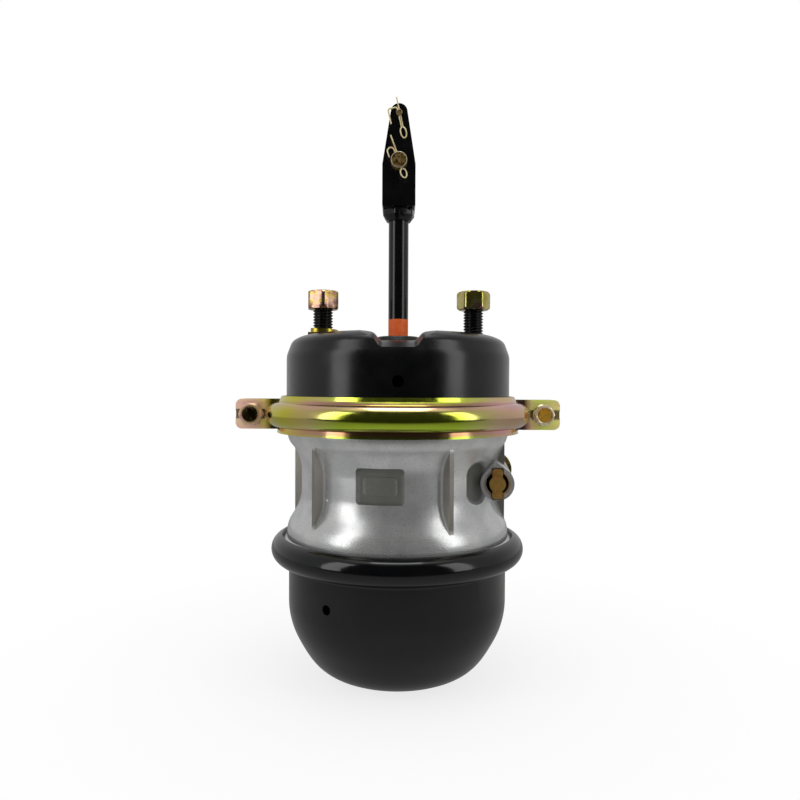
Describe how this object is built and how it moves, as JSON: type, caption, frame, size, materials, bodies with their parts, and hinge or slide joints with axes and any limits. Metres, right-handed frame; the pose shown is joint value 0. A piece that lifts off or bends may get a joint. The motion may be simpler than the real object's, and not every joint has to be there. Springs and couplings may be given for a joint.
{
  "type": "air brake chamber",
  "caption": "Double-diaphragm spring brake chamber with a waisted cast body, clamp ring, mounting studs and a sliding push rod ending in a clevis.",
  "frame": {"origin": "centre of the ring on which the spring housing's dome stands, on the push rod's axis", "axes": "+Z along the push rod towards the clevis, X through the two mounting studs, -Y towards the side with the weep hole and the recessed pad"},
  "size_m": [0.2572, 0.2094, 0.4535],
  "materials": {
    "black_paint": "satin black enamel",
    "cast_aluminium": "as cast, bead blasted",
    "yellow_zinc": "yellow passivated zinc plate",
    "black_oxide": "black oxide on cut thread",
    "black_rod": "gloss black",
    "orange_paint": "matte orange paint",
    "bronze": "machined bronze",
    "seal_rubber": "smooth rubber",
    "diaphragm_rubber": "fabric reinforced rubber",
    "bright_steel": "turned steel",
    "pressed_steel": "pressed steel",
    "spring_steel": "coated spring steel",
    "plug_rubber": "moulded rubber",
    "brassy_zinc": "aged yellow zinc plate",
    "cotter_wire": "yellow zinc plated wire"
  },
  "bodies": {
    "chamber": {"spring_housing": "black_paint", "flange_case": "cast_aluminium", "rod_bush": "bronze", "rod_seals": "seal_rubber", "service_housing": "black_paint", "mounting_stud_left": "black_oxide", "mounting_stud_right": "black_oxide", "stud_nut_left": "yellow_zinc", "stud_nut_right": "yellow_zinc", "lock_washer": "yellow_zinc", "rod_guide": "bronze", "clamp_ring_front": "yellow_zinc", "clamp_ring_rear": "yellow_zinc", "clamp_bolts": "brassy_zinc", "clamp_nuts": "yellow_zinc", "spring_diaphragm": "diaphragm_rubber", "service_diaphragm": "diaphragm_rubber", "power_spring": "spring_steel", "return_spring": "spring_steel"},
    "spring_piston": {"transfer_rod": "bright_steel", "transfer_head": "pressed_steel", "pressure_plate": "pressed_steel"},
    "push_rod_set": {"push_rod": "black_rod", "stroke_band": "orange_paint", "push_plate": "pressed_steel", "lock_nut": "black_rod", "clevis_yoke": "black_rod"},
    "clevis_pin_set": {"clevis_pin": "brassy_zinc", "clevis_cotter": "cotter_wire"},
    "link_pin_set": {"link_pin": "brassy_zinc", "link_cotter": "cotter_wire"},
    "release_bolt_body": {"release_bolt": "brassy_zinc"},
    "release_nut_set": {"release_nut": "yellow_zinc", "release_washer": "brassy_zinc"},
    "dust_plug_body": {"dust_plug": "plug_rubber"}
  },
  "joints": [
    {"name": "parking_stroke", "type": "slide", "parent": "chamber", "child": "spring_piston", "axis": [0, 0, 1], "range_m": [-0.0635, 0], "deforming": ["power_spring", "spring_diaphragm"]},
    {"name": "push_rod_stroke", "type": "slide", "parent": "chamber", "child": "push_rod_set", "axis": [0, 0, 1], "range_m": [-0.0635, 0], "deforming": ["return_spring", "service_diaphragm"]},
    {"name": "clevis_pin_turn", "type": "hinge", "parent": "push_rod_set", "child": "clevis_pin_set", "pos_m": [0, 0, 0.4034], "axis": [0, 1, 0], "continuous": true},
    {"name": "link_pin_turn", "type": "hinge", "parent": "push_rod_set", "child": "link_pin_set", "pos_m": [0, 0, 0.4412], "axis": [0, 1, 0], "continuous": true},
    {"name": "release_bolt_out", "type": "slide", "parent": "chamber", "child": "release_bolt_body", "axis": [-0.0958, -0.9954, 0], "range_m": [0, 0.14]},
    {"name": "release_nut_off", "type": "slide", "parent": "chamber", "child": "release_nut_set", "axis": [0.0958, 0.9954, 0], "range_m": [0, 0.036]},
    {"name": "dust_plug_out", "type": "slide", "parent": "chamber", "child": "dust_plug_body", "axis": [0, 0, -1], "range_m": [0, 0.012]}
  ],
  "couplings": [
    {"joint": "push_rod_stroke", "follows": "parking_stroke", "ratio": 1}
  ]
}
